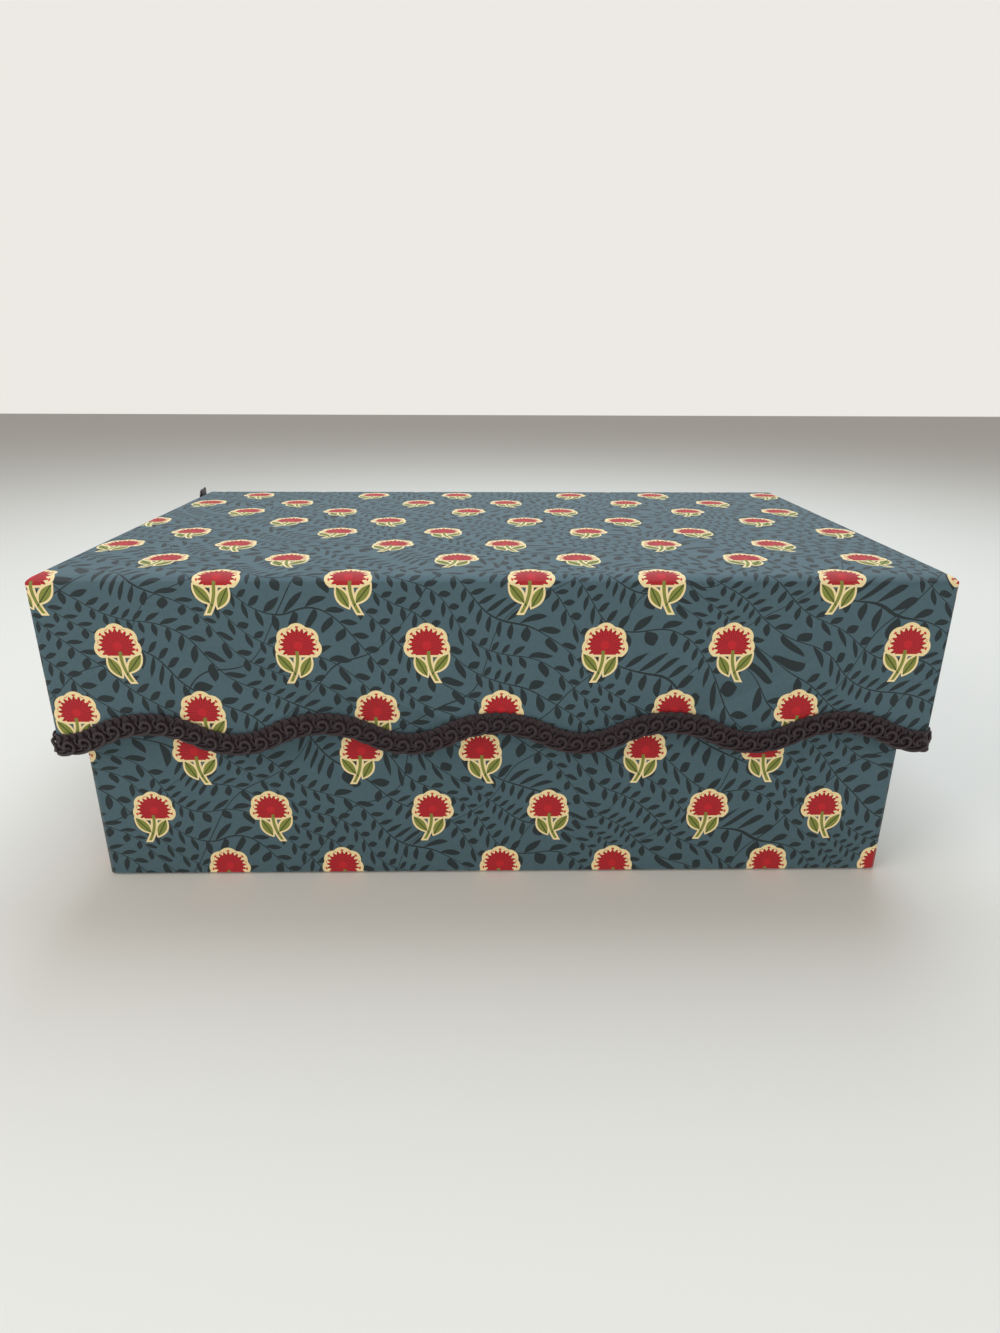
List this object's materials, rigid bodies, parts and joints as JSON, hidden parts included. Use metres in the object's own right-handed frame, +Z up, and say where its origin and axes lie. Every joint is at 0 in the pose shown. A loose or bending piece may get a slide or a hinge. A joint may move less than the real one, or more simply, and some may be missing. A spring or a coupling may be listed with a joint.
{
  "type": "cloth-covered box with hinged lid",
  "caption": "Rectangular keepsake box of cloth-covered board with a deep, hinged lid whose wavy skirt is edged with gimp braid.",
  "frame": {"origin": "middle of the underside of the base, on the surface that the box stands on", "axes": "+X to the right seen from the front, +Y to the hinge at the back, +Z up"},
  "size_m": [0.3332, 0.201, 0.129],
  "materials": {
    "grey_board": "plain grey binder's board",
    "printed_cotton": "plain-weave cotton, printed with vines and small red flowers on blue-green",
    "lining_cotton": "plain-weave cotton, cream",
    "wadding": "thin white wadding",
    "braid": "satin-wrapped gimp cord, dark plum brown"
  },
  "bodies": {
    "base": {"base_board_bottom": "grey_board", "base_board_front": "grey_board", "base_board_back": "grey_board", "base_board_left": "grey_board", "base_board_right": "grey_board", "base_cover": "printed_cotton", "base_lining_front": "lining_cotton", "base_lining_back": "lining_cotton", "base_lining_left": "lining_cotton", "base_lining_right": "lining_cotton", "base_floor_panel": "lining_cotton", "base_underside": "lining_cotton", "hinge_cloth_outer": "printed_cotton", "hinge_cloth_inner": "lining_cotton"},
    "lid": {"lid_board_top": "grey_board", "lid_board_front": "grey_board", "lid_board_left": "grey_board", "lid_board_right": "grey_board", "lid_wadding": "wadding", "lid_cover": "printed_cotton", "lid_lining_top": "lining_cotton", "lid_lining_front": "lining_cotton", "lid_lining_left": "lining_cotton", "lid_lining_right": "lining_cotton", "gimp_braid": "braid"}
  },
  "joints": [
    {"name": "lid_hinge", "type": "hinge", "parent": "base", "child": "lid", "pos_m": [0, 0.096, 0.1224], "axis": [-1, 0, 0], "range_deg": [0, 105], "deforming": ["hinge_cloth_outer", "hinge_cloth_inner"]}
  ]
}
